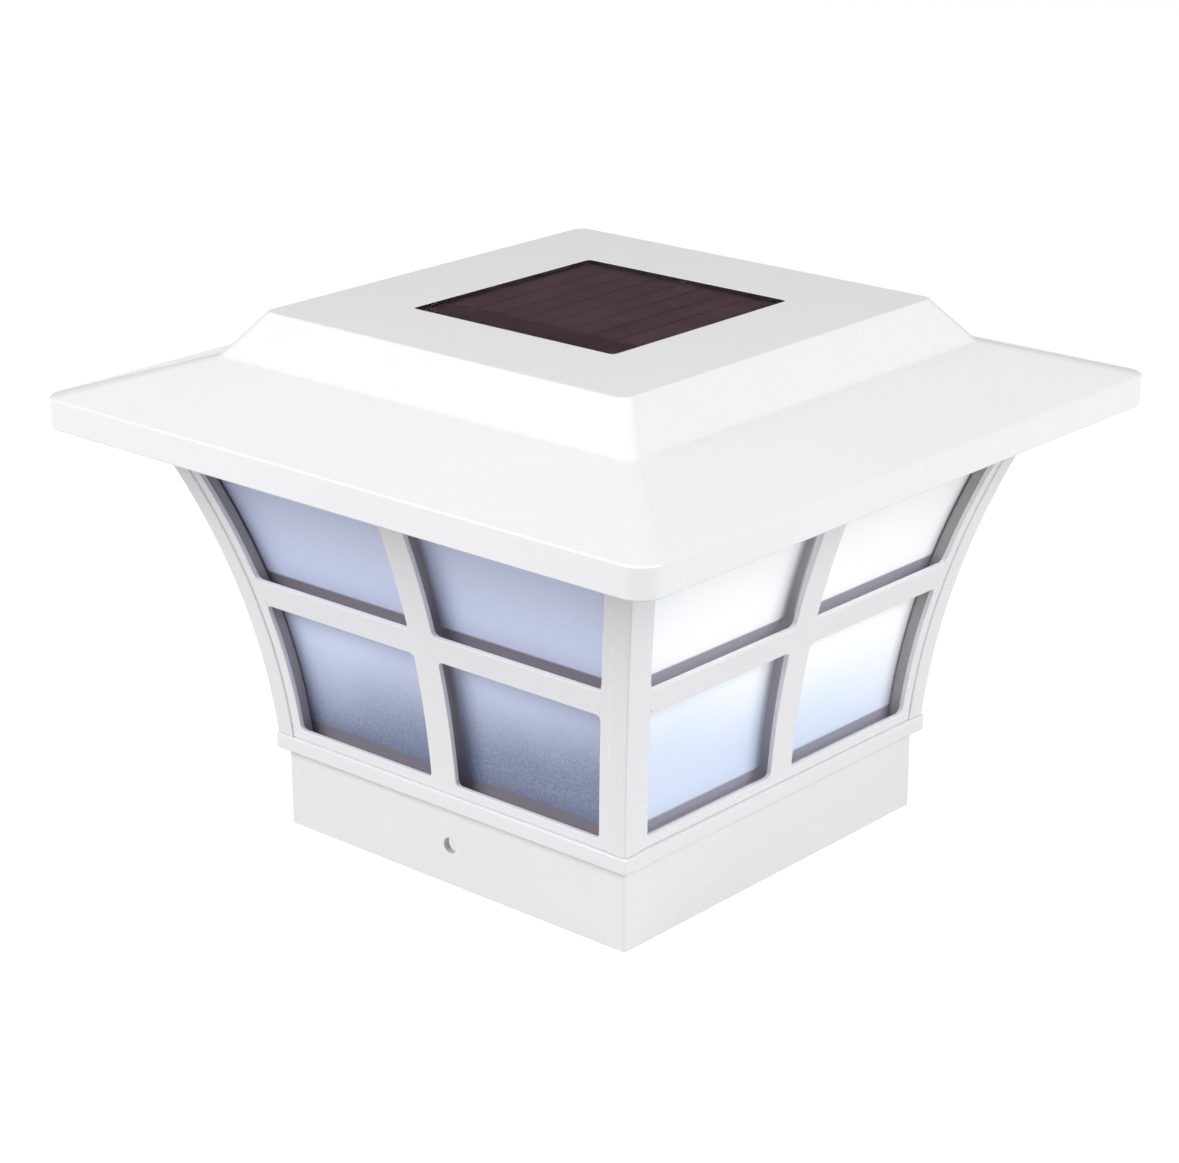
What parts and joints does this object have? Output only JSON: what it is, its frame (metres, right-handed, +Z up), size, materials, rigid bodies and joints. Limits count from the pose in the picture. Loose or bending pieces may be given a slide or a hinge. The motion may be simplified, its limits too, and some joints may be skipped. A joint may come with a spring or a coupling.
{
  "type": "deck post cap light",
  "caption": "Square solar cap light for a deck post: flared lantern with divided frosted windows under a wide stepped roof that lifts off, with a panel on top.",
  "frame": {"origin": "centre of the collar's bottom rim, where the light's underside is", "axes": "+Z up, away from the post; -Y the front face, which has a side screw hole; +X the right face"},
  "size_m": [0.2294, 0.2294, 0.1604],
  "materials": {
    "white_plastic": "white moulded plastic, light gloss",
    "frosted_pane": "frosted, fine speckle",
    "screw_steel": "zinc plated",
    "black_foam": "closed-cell foam",
    "panel_board": "dark laminate",
    "solar_cell": "thin-film silicon, dark brown",
    "panel_cover": "clear cover over dark cells",
    "inner_white_plastic": "satin white",
    "battery_sleeve": "plain green shrink sleeve",
    "contact_metal": "nickel plated",
    "green_board": "solder mask",
    "led_body": "white diode, pale phosphor",
    "chip_black": "black moulded",
    "ferrite": "ferrite drum",
    "clear_dome": "clear moulded",
    "red_lead": "insulation",
    "black_lead": "insulation"
  },
  "bodies": {
    "lantern": {"post_collar": "white_plastic", "base_ring": "white_plastic", "corner_post_front_left": "white_plastic", "corner_post_front_right": "white_plastic", "corner_post_back_right": "white_plastic", "corner_post_back_left": "white_plastic", "window_grille_front": "white_plastic", "window_grille_right": "white_plastic", "window_grille_back": "white_plastic", "window_grille_left": "white_plastic", "window_pane_front": "frosted_pane", "window_pane_right": "frosted_pane", "window_pane_back": "frosted_pane", "window_pane_left": "frosted_pane", "top_ring": "white_plastic", "collar_screws": "screw_steel", "post_screws": "screw_steel", "ring_screws": "screw_steel"},
    "roof": {"roof_shell": "white_plastic", "panel_gasket": "black_foam", "solar_backing": "panel_board", "solar_cells": "solar_cell", "solar_glass": "panel_cover", "light_plate": "inner_white_plastic", "plate_screws": "screw_steel", "battery": "battery_sleeve", "battery_contact_plate": "contact_metal", "battery_contact_spring": "contact_metal", "circuit_board": "green_board", "board_screws": "screw_steel", "leds": "led_body", "driver_chip": "chip_black", "choke_coil": "ferrite", "led_dome": "clear_dome", "switch_body": "chip_black", "panel_lead_red": "red_lead", "panel_lead_black": "black_lead", "battery_lead_red": "red_lead", "battery_lead_black": "black_lead"},
    "switch_slider": {"switch_slider": "chip_black"},
    "battery_door": {"battery_door": "inner_white_plastic"}
  },
  "joints": [
    {"name": "roof_lift", "type": "slide", "parent": "lantern", "child": "roof", "axis": [0, 0, 1], "range_m": [0, 0.08]},
    {"name": "switch_slide", "type": "slide", "parent": "roof", "child": "switch_slider", "axis": [1, 0, 0], "range_m": [0, 0.002]},
    {"name": "battery_door_hinge", "type": "hinge", "parent": "roof", "child": "battery_door", "pos_m": [0, 0.0346, 0.132], "axis": [1, 0, 0], "range_deg": [0, 100]}
  ]
}
